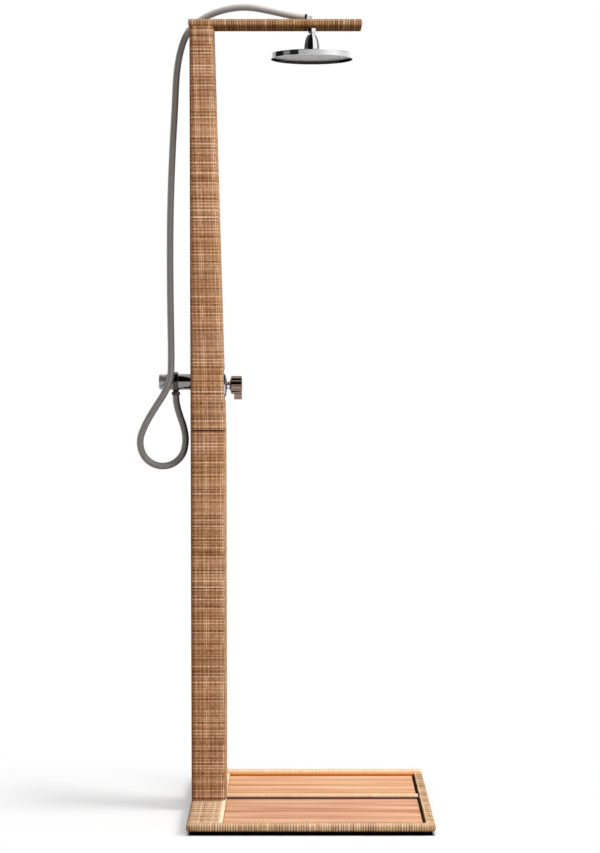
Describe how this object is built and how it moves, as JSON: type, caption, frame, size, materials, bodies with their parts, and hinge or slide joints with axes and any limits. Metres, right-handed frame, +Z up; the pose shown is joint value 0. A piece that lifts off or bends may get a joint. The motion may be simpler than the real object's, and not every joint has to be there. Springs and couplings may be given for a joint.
{
  "type": "outdoor shower post",
  "caption": "Free-standing outdoor shower: cane-wrapped tapering post and arm on a square tray with lift-out slatted boards, side tap, looped hose and overhead rain head.",
  "frame": {"origin": "centre of the square tray, on the floor under its middle rubber pad", "axes": "+Z up along the post, +X along the arm from the post to the head, +Y away from the user who stands in front"},
  "size_m": [0.8581, 0.7, 2.3638],
  "materials": {
    "cane_weave": "woven cane strips, satin",
    "timber_core": "plain timber",
    "cedar_slat": "oiled cedar, satin",
    "black_steel": "black powder coat",
    "black_rubber": "matte",
    "stainless_steel": "brushed",
    "brass": "turned",
    "chrome": "polished",
    "satin_chrome": "satin",
    "white_plastic": "moulded",
    "black_plastic": "moulded",
    "hose_grey": "smooth satin sleeve",
    "face_grey": "satin",
    "nozzle_rubber": "soft silicone"
  },
  "bodies": {
    "stand": {"base_plate": "black_steel", "base_pads": "black_rubber", "rail_screws": "stainless_steel", "front_rail_weave": "cane_weave", "front_rail_core": "timber_core", "back_rail_weave": "cane_weave", "back_rail_core": "timber_core", "left_rail_weave": "cane_weave", "left_rail_core": "timber_core", "right_rail_weave": "cane_weave", "right_rail_core": "timber_core", "divider_weave": "cane_weave", "divider_core": "timber_core", "post_lower_weave": "cane_weave", "post_lower_core": "black_steel", "foot_bolts": "stainless_steel", "joining_spigot": "black_steel", "spigot_bolts": "stainless_steel", "post_upper_core": "black_steel", "post_upper_weave": "cane_weave", "arm_core": "timber_core", "arm_weave": "cane_weave", "arm_bolts": "stainless_steel", "inlet_elbow": "brass", "inlet_locknut": "brass", "supply_pipe": "stainless_steel", "valve_body": "brass", "cartridge": "white_plastic", "cartridge_sleeve": "brass", "rosette": "chrome", "outlet_bar": "chrome", "bar_end_cap": "satin_chrome", "outlet_collar": "chrome", "hose_nut": "chrome", "shower_hose": "hose_grey", "hose_ferrule": "black_plastic", "elbow": "chrome", "stem": "stainless_steel", "neck_nut": "chrome", "ball_stud": "chrome"},
    "front_board": {"front_slat_1": "cedar_slat", "front_slat_2": "cedar_slat", "front_slat_3": "cedar_slat", "front_slat_4": "cedar_slat", "front_board_runners": "black_rubber", "front_board_screws": "stainless_steel"},
    "back_board": {"back_slat_1": "cedar_slat", "back_slat_2": "cedar_slat", "back_slat_3": "cedar_slat", "back_slat_4": "cedar_slat", "back_board_runners": "black_rubber", "back_board_screws": "stainless_steel"},
    "tap_knob": {"spindle": "stainless_steel", "knob": "chrome"},
    "swivel": {"ball_liner": "white_plastic"},
    "head": {"ball_seat": "white_plastic", "bell": "chrome", "head_shell": "chrome", "face_plate": "face_grey", "nozzles": "nozzle_rubber"}
  },
  "joints": [
    {"name": "knob_turn", "type": "hinge", "parent": "stand", "child": "tap_knob", "pos_m": [-0.215, 0, 1.25], "axis": [-1, 0, 0], "range_deg": [0, 90]},
    {"name": "head_swivel", "type": "hinge", "parent": "stand", "child": "swivel", "pos_m": [0.0035, 0, 2.25], "axis": [0, 0, 1], "continuous": true},
    {"name": "head_tilt", "type": "hinge", "parent": "swivel", "child": "head", "pos_m": [0.0035, 0, 2.25], "axis": [1, 0, 0], "range_deg": [-15, 15]},
    {"name": "front_board_lift", "type": "slide", "parent": "stand", "child": "front_board", "axis": [0, 0, 1], "range_m": [0, 0.15]},
    {"name": "back_board_lift", "type": "slide", "parent": "stand", "child": "back_board", "axis": [0, 0, 1], "range_m": [0, 0.15]}
  ]
}
